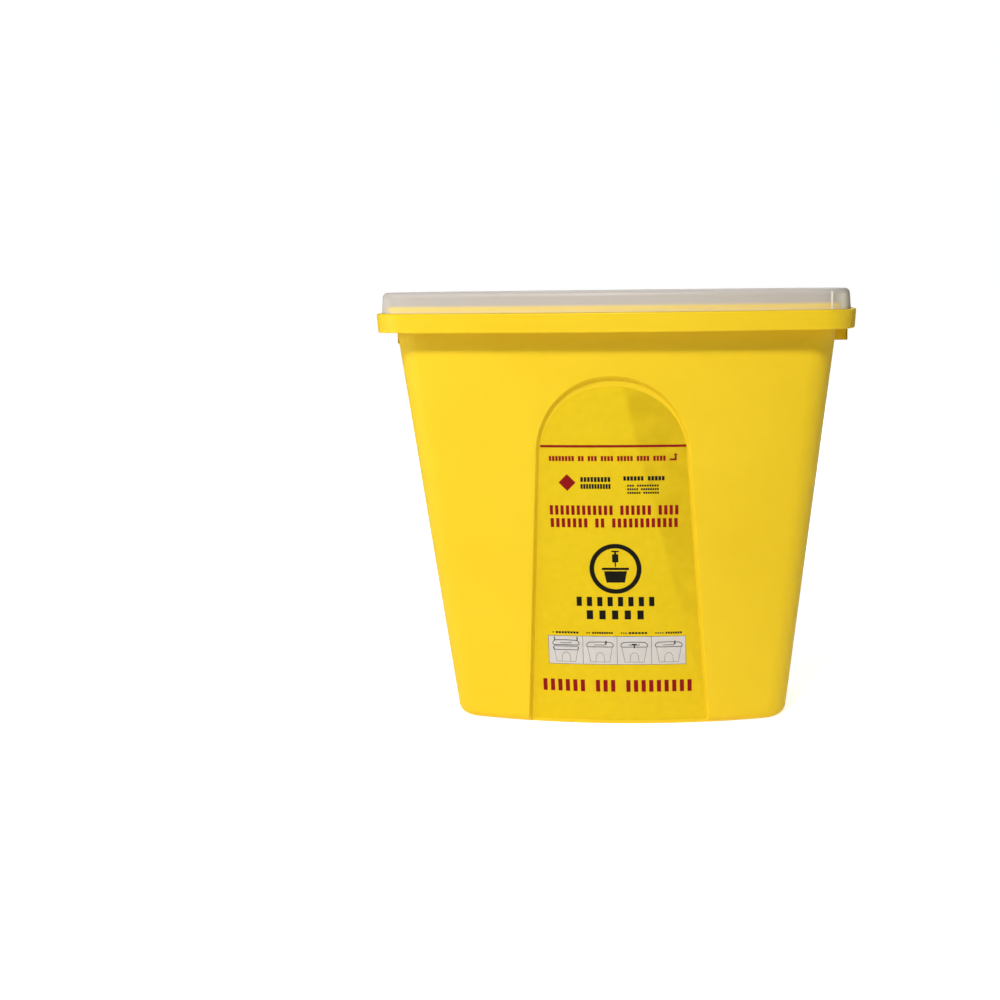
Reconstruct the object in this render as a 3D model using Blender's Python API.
"""A sharps container: a tapered tub with a clip-on lid. A door slides over the opening in the lid.

Metres in Blender, millimetres in the constants. +Z is up, the front faces -Y, and the origin is at the middle of
the underside. The door, its lock and its catch each have their origin on the line they slide along.
"""

import math

import bmesh
import bpy

MM = 0.001
GAP = 0.3  # clearance between pieces that touch on the real object
FIT = 0.6  # running clearance of a slide

# Rim outline: half width, half depth, and the radii of the long side, the short side and the corner.
RIM = (201.7, 145.3, 648.0, 523.0, 35.5)
# Wall outline at the underside and at the height of the rim's lower edge.
WALL_BASE = (144.8, 92.9, 440.0, 450.0, 24.0)
WALL_TOP = (185.4, 129.0, 648.0, 523.0, 26.6)
RIM_LOW, RIM_TOP = 332.9, 348.0
WALL = 1.8
FLOOR_TOP = 3.6
FOOT_FILLET = 8.3
FOOT_WIDTH = 12.0
FOOT_RISE = 1.5

# Upstand that the lid clips over, given by its insets from the rim outline.
LIP_OUT, LIP_IN, LIP_TOP = 8.8, 10.5, 353.9

# Arched recess in the front and the back.
ARCH_BASE = 75.7  # half width at the underside
ARCH_SPRING = 61.2  # half width where the arch starts
SPRING_Z, APEX_Z = 236.2, 296.4
ARCH_POWER = 2.1
RECESS_LOW, RECESS_HIGH = 5.2, 3.6  # depth at the underside and at the apex
LABEL_MARGINS = (-1.9, -7.0)  # from the recess's sides and from its apex
LABEL_LOW = 9.0

# Lock pocket under the rim at each end, and the tongue of the lid that drops into it.
POCKET_OUT, POCKET_HALF, POCKET_LOW = 196.5, 8.6, 320.2
TONGUE_X, TONGUE_HALF, TONGUE_LOW = (188.3, 190.1), 5.8, 324.0

# Lid.
LID_TOP, LID_LOW = 364.8, RIM_TOP + GAP
SKIRT_LOW, SKIRT_HIGH, SKIRT = 4.4, 6.0, 1.6  # insets of the outer face, and its thickness
DECK_TOP = 358.9
DECK_INSET = 24.5
SNAP_X, SNAP_HALF = (-123.0, 0.0, 123.0), 5.2
OPENING = (65.0, -90.0, 0.0)  # half width, front edge, back edge
OPENING_CORNER = 10.0

# Door and the rails that hold its edges.
DOOR_HALF, DOOR_FRONT, DOOR_BACK = 71.4, -98.0, 8.0
DOOR_TRAVEL = 100.0
RAIL_WEB, RAIL_LIP = 2.4, 3.0
DOOR_LOW = DECK_TOP + GAP
DOOR_HIGH = DOOR_LOW + WALL
RAIL_TOP = DOOR_HIGH + FIT + 1.4
RAIL_FRONT, RAIL_BACK = -110.0, 110.4

# Lock at the door's right end. It slides to the left, into a notch in the door's edge.
LOCK_Y, LOCK_HALF, BOLT_HALF, LOCK_TRAVEL = -54.0, 8.0, 4.0, 4.0
# Catch at the front of the door. It slides to the front.
CATCH_HALF, CATCH_FRONT, CATCH_BACK = 20.0, -114.0, -99.0

FRONT_STEPS, CORNER_STEPS, SIDE_STEPS = 9, 6, 4


def outline(shape, inset=0.0):
    """Points of one closed outline, anticlockwise from the middle of the front, made of tangent arcs."""
    half_x, half_y, long_r, end_r, corner_r = (value - inset for value in shape)
    first, second = (0.0, long_r - half_y), (half_x - end_r, 0.0)
    reach_1, reach_2 = long_r - corner_r, end_r - corner_r
    dx, dy = second[0] - first[0], second[1] - first[1]
    apart = math.hypot(dx, dy)
    along = (reach_1**2 - reach_2**2 + apart**2) / (2 * apart)
    across = math.sqrt(reach_1**2 - along**2)
    ux, uy = dx / apart, dy / apart
    foot_x, foot_y = first[0] + along * ux, first[1] + along * uy
    crossings = [(foot_x + side * across * uy, foot_y - side * across * ux) for side in (-1, 1)]
    centre = min(crossings, key=lambda point: point[1])
    start = math.atan2(centre[1] - first[1], centre[0] - first[0])
    end = math.atan2(centre[1] - second[1], centre[0] - second[0])
    quarter = []
    for (cx, cy), radius, low, high, steps in (
        (first, long_r, -math.pi / 2, start, FRONT_STEPS),
        (centre, corner_r, start, end, CORNER_STEPS),
        (second, end_r, end, 0.0, SIDE_STEPS),
    ):
        for step in range(steps):
            angle = low + (high - low) * step / steps
            quarter.append((cx + radius * math.cos(angle), cy + radius * math.sin(angle)))
    right = quarter + [(half_x, 0.0)] + [(x, -y) for x, y in reversed(quarter[1:])]
    return right + [(0.0, half_y)] + [(-x, y) for x, y in reversed(right[1:])]


def wall_shape(z):
    part = z / RIM_LOW
    return tuple(low + (high - low) * part for low, high in zip(WALL_BASE, WALL_TOP))


def wall_ring(z, inset=0.0):
    return [(x, y, z) for x, y in outline(wall_shape(z), inset)]


def rim_ring(inset, z):
    return [(x, y, z) for x, y in outline(RIM, inset)]


def quarter_round(radius, turns):
    """(rise, inset) of a rounded lower edge at each turn, in degrees up from the underside."""
    angles = [math.radians(turn) for turn in turns]
    return [(radius * (1 - math.cos(angle)), radius * (1 - math.sin(angle))) for angle in angles]


def wall_y(x, z, inset):
    """Distance from the middle to the long side of the wall, at x and height z, set in by inset."""
    _, half_y, long_r, _, _ = wall_shape(z)
    return math.sqrt((long_r - inset) ** 2 - x * x) - (long_r - half_y)


def recess_depth(z):
    return RECESS_LOW + (RECESS_HIGH - RECESS_LOW) * z / APEX_Z


def arch_half(z, margin, top_margin):
    """Half width of the arch at height z, with its sides and its apex moved outwards by the margins."""
    half = ARCH_BASE + (ARCH_SPRING - ARCH_BASE) * z / SPRING_Z + margin
    part = min(max(z - SPRING_Z, 0.0) / (APEX_Z + top_margin - SPRING_Z), 1.0)
    return half * (1 - part**ARCH_POWER) ** (1 / ARCH_POWER)


def material(name, colour, roughness, alpha=1.0):
    made = bpy.data.materials.new(name)
    made.use_nodes = True
    shader = made.node_tree.nodes["Principled BSDF"]
    shader.inputs["Base Color"].default_value = (*colour, 1.0)
    shader.inputs["Roughness"].default_value = roughness
    shader.inputs["Alpha"].default_value = alpha
    return made


def add(name, points, faces, surface=None, origin=(0.0, 0.0, 0.0)):
    """A mesh object with its normals outwards. Its origin is at the given point in millimetres."""
    mesh = bpy.data.meshes.new(name)
    mesh.from_pydata([[(p - o) * MM for p, o in zip(point, origin)] for point in points], [], faces)
    work = bmesh.new()
    work.from_mesh(mesh)
    bmesh.ops.recalc_face_normals(work, faces=work.faces)
    work.to_mesh(mesh)
    work.free()
    made = bpy.data.objects.new(name, mesh)
    made.location = [value * MM for value in origin]
    bpy.context.collection.objects.link(made)
    if surface:
        mesh.materials.append(surface)
    return made


def loft(name, rings, surface=None):
    """A closed body through rings with the same number of points, closed at its first and last ring."""
    count = len(rings[0])
    points = [point for ring in rings for point in ring]
    faces = [list(range(count)), list(range(len(points) - count, len(points)))]
    for ring in range(len(rings) - 1):
        for step in range(count):
            a, b = ring * count + step, ring * count + (step + 1) % count
            faces.append([a, b, b + count, a + count])
    return add(name, points, faces, surface)


def prism(name, outline_points, axis, low, high, surface=None, origin=(0.0, 0.0, 0.0)):
    """A flat outline pushed along one axis. The outline's two numbers are the other two axes, in order."""
    rings = []
    for level in (low, high):
        ring = []
        for first, second in outline_points:
            point = [first, second]
            point.insert(axis, level)
            ring.append(point)
        rings.append(ring)
    count = len(outline_points)
    faces = [list(range(count)), list(range(count, 2 * count))]
    faces += [[s, (s + 1) % count, (s + 1) % count + count, s + count] for s in range(count)]
    return add(name, rings[0] + rings[1], faces, surface, origin)


def block(name, x, y, z, surface=None, origin=(0.0, 0.0, 0.0)):
    corners = [(x[0], y[0]), (x[1], y[0]), (x[1], y[1]), (x[0], y[1])]
    return prism(name, corners, 2, z[0], z[1], surface, origin)


def rounded(x, y, radius, steps=5):
    """The corners of a rectangle, rounded."""
    points = []
    for cx, cy, turn in ((x[1], y[0], -90), (x[1], y[1], 0), (x[0], y[1], 90), (x[0], y[0], 180)):
        mx = cx - radius if cx == x[1] else cx + radius
        my = cy - radius if cy == y[1] else cy + radius
        for step in range(steps + 1):
            angle = math.radians(turn + 90 * step / steps)
            points.append((mx + radius * math.cos(angle), my + radius * math.sin(angle)))
    return points


def arch_slab(name, side, margins, z_low, outer, inner, columns=12, rows=22, surface=None):
    """A body shaped like the arch, between the distances outer(x, z) and inner(x, z) from the middle."""
    top = APEX_Z + margins[1]
    heights = [z_low + (SPRING_Z - z_low) * row / 6 for row in range(6)]
    arch_rows = rows - 6
    turns = [0.4995 * math.pi * row / arch_rows for row in range(arch_rows + 1)]
    heights += [SPRING_Z + (top - SPRING_Z) * math.sin(turn) for turn in turns]
    points = []
    for face in (outer, inner):
        for z in heights:
            half = arch_half(z, *margins)
            for column in range(columns + 1):
                x = half * (2 * column / columns - 1)
                points.append((x, side * face(x, z), z))
    wide, tall = columns + 1, len(heights)
    size = wide * tall
    faces = []
    for row in range(tall - 1):
        for column in range(columns):
            a = row * wide + column
            faces.append([a, a + 1, a + 1 + wide, a + wide])
            faces.append([a + size, a + wide + size, a + 1 + wide + size, a + 1 + size])
    edge = [column for column in range(wide)]
    edge += [row * wide + columns for row in range(1, tall)]
    edge += [(tall - 1) * wide + column for column in range(columns - 1, -1, -1)]
    edge += [row * wide for row in range(tall - 2, 0, -1)]
    for step, a in enumerate(edge):
        b = edge[(step + 1) % len(edge)]
        faces.append([a, b, b + size, a + size])
    return add(name, points, faces, surface)


def combine(target, operation, others):
    """Joins each of the others to the target, or cuts each from it, and then removes them."""
    for other in others:
        change = target.modifiers.new(other.name, "BOOLEAN")
        change.operation, change.object, change.solver = operation, other, "EXACT"
        graph = bpy.context.evaluated_depsgraph_get()
        mesh = bpy.data.meshes.new_from_object(target.evaluated_get(graph))
        target.modifiers.clear()
        target.data = mesh
        bpy.data.objects.remove(other)


def finish(made, angle=32.0):
    made.data.shade_smooth()
    made.data.set_sharp_from_angle(angle=math.radians(angle))


def build_tub(surface):
    """Foot ring, wall, rim with its turned-down skirt, and the upstand, as one closed section."""
    foot = FOOT_FILLET + FOOT_WIDTH
    rings = [wall_ring(FOOT_RISE, foot + 1.5), wall_ring(0.0, foot)]
    rings += [wall_ring(up, inward) for up, inward in quarter_round(FOOT_FILLET, (0, 18, 36, 54, 72, 90))]
    rings += [wall_ring(z) for z in (60.0, 120.0, 180.0, 240.0, RIM_LOW - 30.0, RIM_TOP - WALL)]
    rings += [rim_ring(WALL, RIM_TOP - WALL), rim_ring(WALL + 0.9, RIM_LOW), rim_ring(1.0, RIM_LOW)]
    rings += [rim_ring(0.0, RIM_TOP - 1.5), rim_ring(0.45, RIM_TOP - 0.45), rim_ring(1.5, RIM_TOP)]
    rings += [rim_ring(LIP_OUT, RIM_TOP), rim_ring(LIP_OUT, LIP_TOP - 0.5), rim_ring(LIP_OUT + 0.5, LIP_TOP)]
    rings += [rim_ring(LIP_IN - 0.5, LIP_TOP), rim_ring(LIP_IN, LIP_TOP - 0.5), rim_ring(LIP_IN, RIM_TOP)]
    rings += [wall_ring(z, WALL) for z in (RIM_TOP, RIM_LOW - 30.0, 240.0, 180.0, 120.0, 60.0)]
    inside = quarter_round(FOOT_FILLET - WALL, (90, 60, 30, 0))
    rings += [wall_ring(FLOOR_TOP + up, WALL + inward) for up, inward in inside]
    tub = loft("tub", rings, surface)
    for side in (-1, 1):
        pan = arch_slab(
            "pan", side, (WALL, WALL), 2.4,
            lambda x, z: wall_y(x, z, 0.7),
            lambda x, z: wall_y(x, z, recess_depth(z) + WALL),
        )
        combine(tub, "UNION", [pan])
        recess = arch_slab(
            "recess", side, (0.0, 0.0), -3.0,
            lambda x, z: 200.0,
            lambda x, z: wall_y(x, z, recess_depth(z)),
        )
        combine(tub, "DIFFERENCE", [recess])
        high = RIM_TOP - WALL + 0.5
        plate_x = [side * POCKET_OUT, side * (POCKET_OUT - WALL)]
        pieces = [block("plate", sorted(plate_x), (-POCKET_HALF, POCKET_HALF), (POCKET_LOW, high))]
        for rib in (-1, 1):
            # The rib's inner edge stays within the thickness of the sloping wall.
            low_x, high_x = wall_shape(POCKET_LOW)[0] - 0.9, wall_shape(high)[0] - 0.9
            out = POCKET_OUT - 0.9
            corners = [(low_x, POCKET_LOW), (out, POCKET_LOW), (out, high), (high_x, high)]
            width = sorted([rib * POCKET_HALF, rib * (POCKET_HALF - WALL)])
            pieces.append(prism("rib", [(side * x, z) for x, z in corners], 1, *width))
        combine(tub, "UNION", pieces)
        slot_x = sorted([side * (TONGUE_X[0] - 0.5), side * (TONGUE_X[1] + 0.5)])
        slot_y = (-TONGUE_HALF - 0.8, TONGUE_HALF + 0.8)
        combine(tub, "DIFFERENCE", [block("slot", slot_x, slot_y, (RIM_TOP - WALL - 1, RIM_TOP + 1))])
    finish(tub)
    return tub


def build_lid(surface):
    rings = [rim_ring(DECK_INSET + 2.0, DECK_TOP), rim_ring(DECK_INSET + 1.0, DECK_TOP)]
    rings += [rim_ring(DECK_INSET, DECK_TOP + 1.0), rim_ring(DECK_INSET - 0.4, LID_TOP - 1.2)]
    rings += [rim_ring(DECK_INSET - 1.6, LID_TOP)]
    rings += [rim_ring(SKIRT_HIGH + 2.6, LID_TOP), rim_ring(SKIRT_HIGH + 0.8, LID_TOP - 0.6)]
    rings += [rim_ring(SKIRT_HIGH, LID_TOP - 2.4), rim_ring(SKIRT_LOW, LID_LOW)]
    rings += [rim_ring(SKIRT_LOW + SKIRT, LID_LOW), rim_ring(SKIRT_HIGH + SKIRT, LID_TOP - WALL - 0.8)]
    rings += [rim_ring(SKIRT_HIGH + SKIRT + 0.8, LID_TOP - WALL)]
    seal = LIP_IN + FIT
    rings += [rim_ring(seal, LID_TOP - WALL), rim_ring(seal, RIM_TOP + 2.0)]
    rings += [rim_ring(seal + 1.5, RIM_TOP + 2.0), rim_ring(seal + 1.5, LID_TOP - WALL)]
    rings += [rim_ring(DECK_INSET - WALL, LID_TOP - WALL), rim_ring(DECK_INSET - WALL, DECK_TOP - WALL)]
    rings += [rim_ring(DECK_INSET + 2.0, DECK_TOP - WALL)]
    lid = loft("lid", rings, surface)

    pieces = []
    for side in (-1, 1):
        for x in SNAP_X:
            outer = RIM[1] - SKIRT_LOW - SKIRT + 0.5 - (RIM[2] - math.sqrt(RIM[2] ** 2 - x * x))
            depth = sorted([side * outer, side * (outer - 2.0)])
            pieces.append(block("snap", (x - SNAP_HALF, x + SNAP_HALF), depth, (LID_LOW + 0.4, LID_LOW + 3.0)))
        tongue = sorted(side * x for x in TONGUE_X)
        pieces.append(block("tongue", tongue, (-TONGUE_HALF, TONGUE_HALF), (TONGUE_LOW, LID_TOP - 1.0)))
        hook = sorted([side * (TONGUE_X[0] + 0.6), side * (TONGUE_X[1] + 0.4)])
        pieces.append(block("hook", hook, (-TONGUE_HALF, TONGUE_HALF), (TONGUE_LOW + 1.0, TONGUE_LOW + 6.0)))
        web = sorted([side * (DOOR_HALF + FIT), side * (DOOR_HALF + FIT + RAIL_WEB)])
        cap = sorted([side * (DOOR_HALF + FIT - RAIL_LIP), side * (DOOR_HALF + FIT + RAIL_WEB)])
        pieces.append(block("web", web, (RAIL_FRONT, RAIL_BACK), (DECK_TOP - 0.6, RAIL_TOP)))
        pieces.append(block("cap", cap, (RAIL_FRONT, RAIL_BACK), (RAIL_TOP - 1.4, RAIL_TOP)))
        stop = sorted([side * (CATCH_HALF + 5.0), side * (DOOR_HALF + FIT + 1.0)])
        ahead = (DOOR_FRONT - GAP - WALL, DOOR_FRONT - GAP)
        pieces.append(block("stop", stop, ahead, (DECK_TOP - 0.6, RAIL_TOP)))
        guide = sorted([side * (CATCH_HALF + 0.5), side * (CATCH_HALF + 2.5)])
        pieces.append(block("guide", guide, (-116.0, -101.0), (DECK_TOP - 0.6, RAIL_TOP)))
        hold = sorted([side * (CATCH_HALF - 1.5), side * (CATCH_HALF + 2.5)])
        pieces.append(block("hold", hold, (-116.0, -101.0), (RAIL_TOP - 1.4, RAIL_TOP)))
        slide = sorted([LOCK_Y + side * (LOCK_HALF + 0.5), LOCK_Y + side * (LOCK_HALF + 2.5)])
        pieces.append(block("slide", (78.0, 101.0), slide, (DECK_TOP - 0.6, RAIL_TOP)))
        over = sorted([LOCK_Y + side * (LOCK_HALF - 1.5), LOCK_Y + side * (LOCK_HALF + 2.5)])
        pieces.append(block("over", (78.0, 101.0), over, (RAIL_TOP - 1.4, RAIL_TOP)))
    back = (DOOR_BACK + DOOR_TRAVEL + GAP, DOOR_BACK + DOOR_TRAVEL + GAP + WALL)
    pieces.append(block("back", (-DOOR_HALF - FIT - 1, DOOR_HALF + FIT + 1), back, (DECK_TOP - 0.6, RAIL_TOP)))
    combine(lid, "UNION", pieces)

    half, front, rear = OPENING
    hole = prism("hole", rounded((-half, half), (front, rear), OPENING_CORNER), 2, DECK_TOP - 4, DECK_TOP + 4)
    window = block(
        "window", (DOOR_HALF - 4, DOOR_HALF + 6), (LOCK_Y - BOLT_HALF - 0.5, LOCK_Y + BOLT_HALF + 0.5),
        (DECK_TOP, DOOR_HIGH + FIT / 2),
    )
    combine(lid, "DIFFERENCE", [hole, window])
    finish(lid)
    return lid


def build_door(surface):
    origin = (0.0, (DOOR_FRONT + DOOR_BACK) / 2, DOOR_LOW)
    corners = rounded((-DOOR_HALF, DOOR_HALF), (DOOR_FRONT, DOOR_BACK), 3.0)
    door = prism("sliding_door", corners, 2, DOOR_LOW, DOOR_HIGH, surface, origin)
    pieces = [prism("pull", rounded((-26.0, 26.0), (-86.0, -80.0), 2.9), 2, DOOR_HIGH - 0.5, LID_TOP - 0.9)]
    for x in (-50.0, -17.0, 17.0, 50.0):
        bar = rounded((x - 1.0, x + 1.0), (-71.0, -2.0), 0.9)
        pieces.append(prism("bar", bar, 2, DOOR_HIGH - 0.5, DOOR_HIGH + 1.0))
    combine(door, "UNION", pieces)
    notch = block(
        "notch", (DOOR_HALF - 4.0, DOOR_HALF + 2), (LOCK_Y - BOLT_HALF - 0.5, LOCK_Y + BOLT_HALF + 0.5),
        (DOOR_LOW - 1, DOOR_HIGH + 1),
    )
    combine(door, "DIFFERENCE", [notch])
    finish(door)
    return door


def build_lock(surface):
    """Thumb slide with a bolt. At rest the bolt's tip is just outside the door's edge."""
    left, right = DOOR_HALF + FIT + RAIL_WEB + LOCK_TRAVEL + 1.0, 100.0
    tip = DOOR_HALF + FIT
    y = (LOCK_Y - LOCK_HALF, LOCK_Y + LOCK_HALF)
    corners = [(tip, LOCK_Y - BOLT_HALF), (left, LOCK_Y - BOLT_HALF), (left, y[0]), (right, y[0])]
    corners += [(x, 2 * LOCK_Y - y_) for x, y_ in reversed(corners)]
    lock = prism("door_lock", corners, 2, DOOR_LOW, DOOR_HIGH, surface, (left, LOCK_Y, DOOR_LOW))
    ridges = [
        block("ridge", (x, x + 1.6), (LOCK_Y - 5.5, LOCK_Y + 5.5), (DOOR_HIGH - 0.5, DOOR_HIGH + 2.2))
        for x in (85.0, 89.0, 93.0)
    ]
    combine(lock, "UNION", ridges)
    finish(lock)
    return lock


def build_catch(surface):
    """Finger slide in front of the door, with a raised grip."""
    origin = (0.0, (CATCH_FRONT + CATCH_BACK) / 2, DOOR_LOW)
    corners = rounded((-CATCH_HALF, CATCH_HALF), (CATCH_FRONT, CATCH_BACK), 2.0)
    catch = prism("release_catch", corners, 2, DOOR_LOW, DOOR_HIGH, surface, origin)
    grip = prism("grip", rounded((-14.0, 14.0), (-111.0, -108.0), 1.4), 2, DOOR_HIGH - 0.5, LID_TOP - 0.9)
    combine(catch, "UNION", [grip])
    finish(catch)
    return catch


def build_label(name, side, surface):
    """A film that lies on the floor of the recess."""
    label = arch_slab(
        name, side, LABEL_MARGINS, LABEL_LOW,
        lambda x, z: wall_y(x, z, recess_depth(z) - 2 * GAP),
        lambda x, z: wall_y(x, z, recess_depth(z) - GAP),
        surface=surface,
    )
    finish(label)
    return label


for leftover in list(bpy.data.objects):
    bpy.data.objects.remove(leftover)

yellow = material("yellow_polypropylene", (0.9, 0.65, 0.035), 0.42)
frosted = material("frosted_polypropylene", (0.72, 0.67, 0.62), 0.5, 0.7)
film = material("label_film", (0.8, 0.58, 0.01), 0.2)

build_tub(yellow)
build_lid(frosted)
build_door(frosted)
build_lock(yellow)
build_catch(yellow)
build_label("front_label", -1, film)
build_label("back_label", 1, film)
